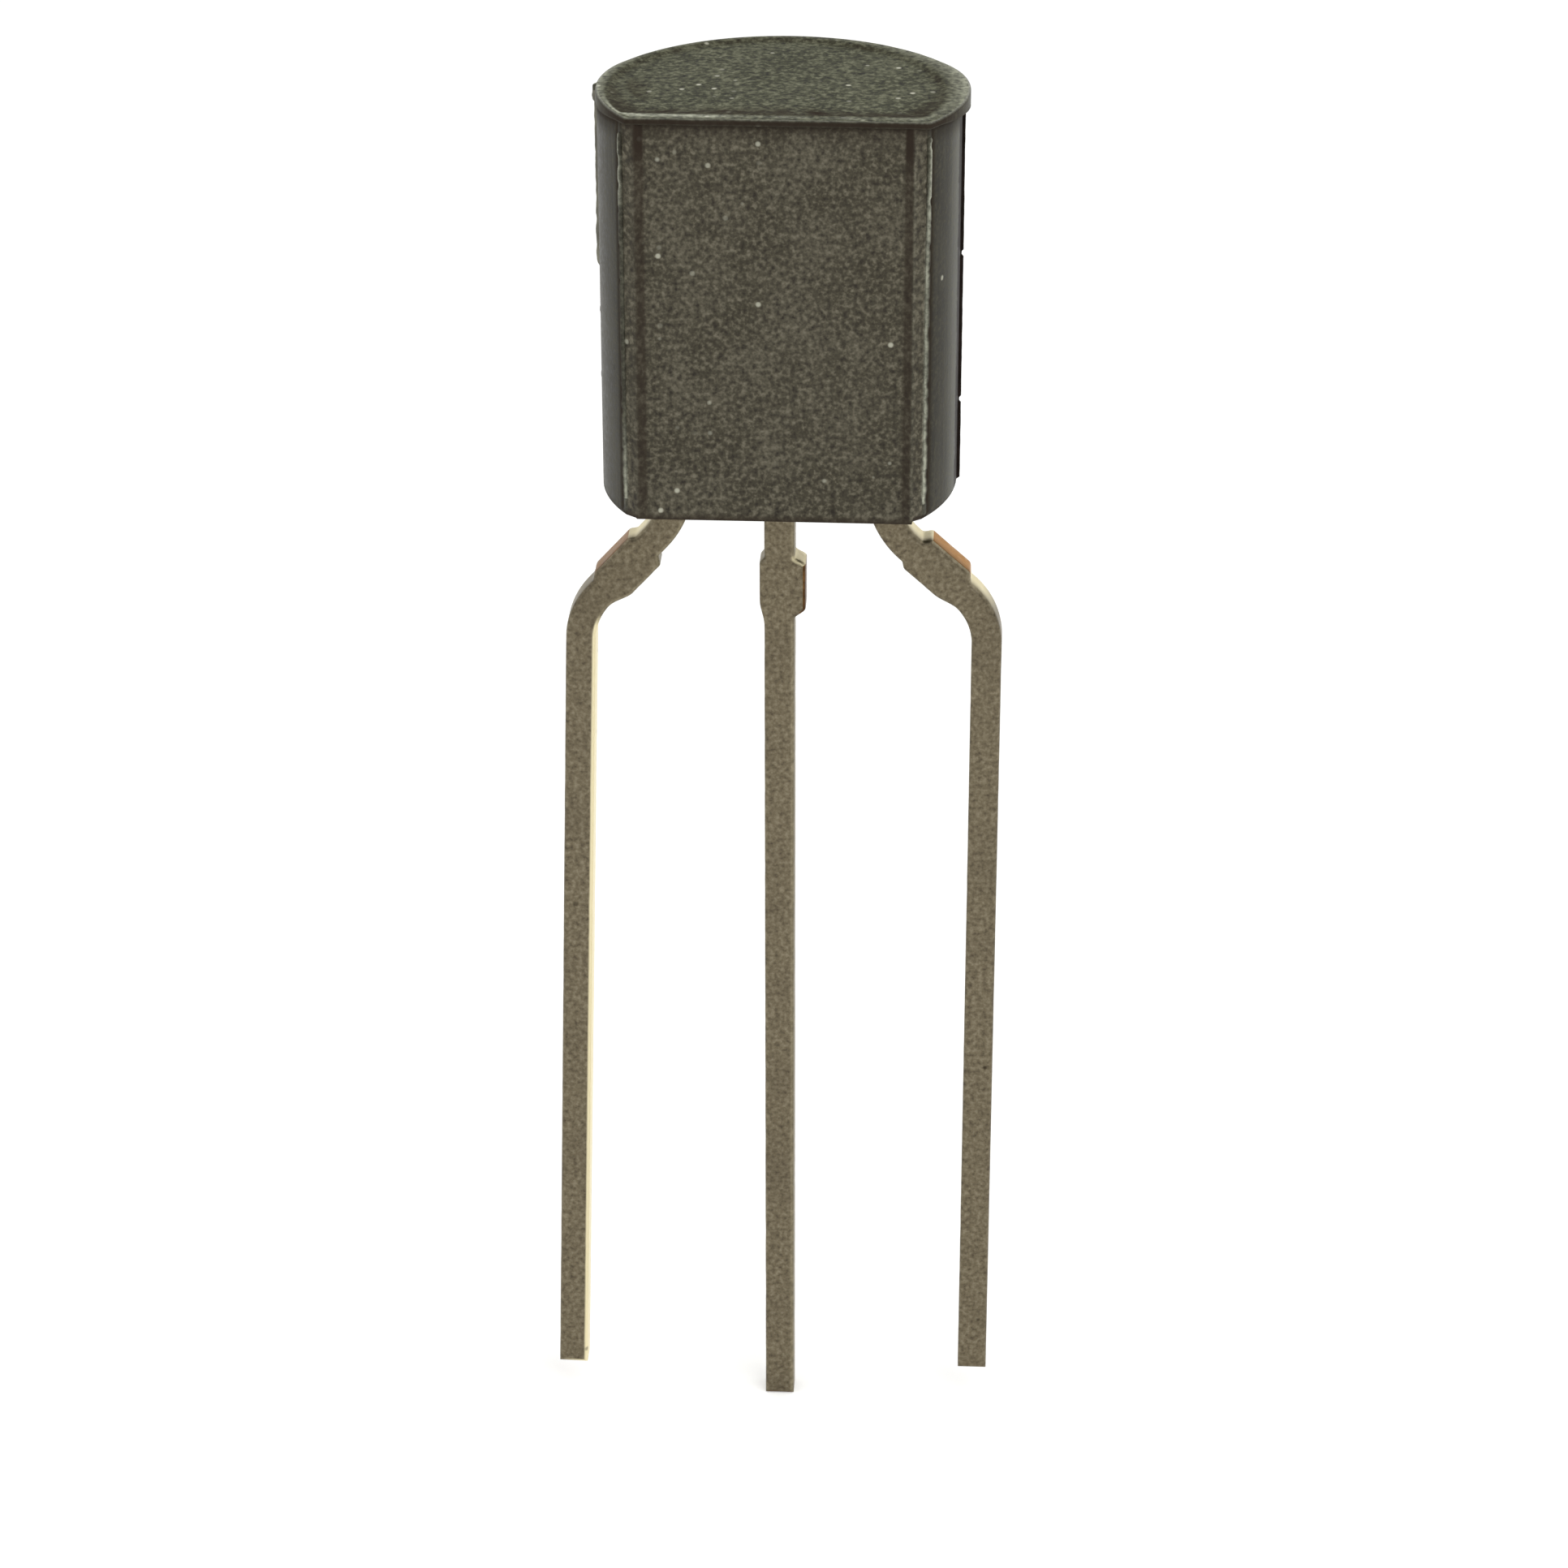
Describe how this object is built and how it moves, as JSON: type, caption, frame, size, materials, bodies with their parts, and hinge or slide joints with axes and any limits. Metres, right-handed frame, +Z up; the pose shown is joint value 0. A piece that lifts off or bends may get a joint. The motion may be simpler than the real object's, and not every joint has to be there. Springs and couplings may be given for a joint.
{
  "type": "TO-92 transistor",
  "caption": "Small signal transistor in a round-backed moulded case with a flat front and three formed, tinned leads that hold it upright in a circuit board.",
  "frame": {"origin": "on the middle lead's axis, at the height where the formed legs begin, which is the top of the board", "axes": "+Z up along the leads into the case, -Y out of the flat side of the case, +X towards the collector lead"},
  "size_m": [0.0058, 0.0036, 0.0186],
  "materials": {
    "black_epoxy": "spark-eroded matte moulding",
    "tinned_copper_alloy": "matte electroplated tin",
    "silicon": "polished",
    "die_solder": "satin",
    "bond_gold": "drawn wire"
  },
  "bodies": {
    "root": {"epoxy_body": "black_epoxy", "emitter_lead": "tinned_copper_alloy", "base_lead": "tinned_copper_alloy", "collector_lead": "tinned_copper_alloy", "silicon_die": "silicon", "die_attach": "die_solder", "emitter_wire": "bond_gold", "base_wire": "bond_gold"}
  },
  "joints": []
}
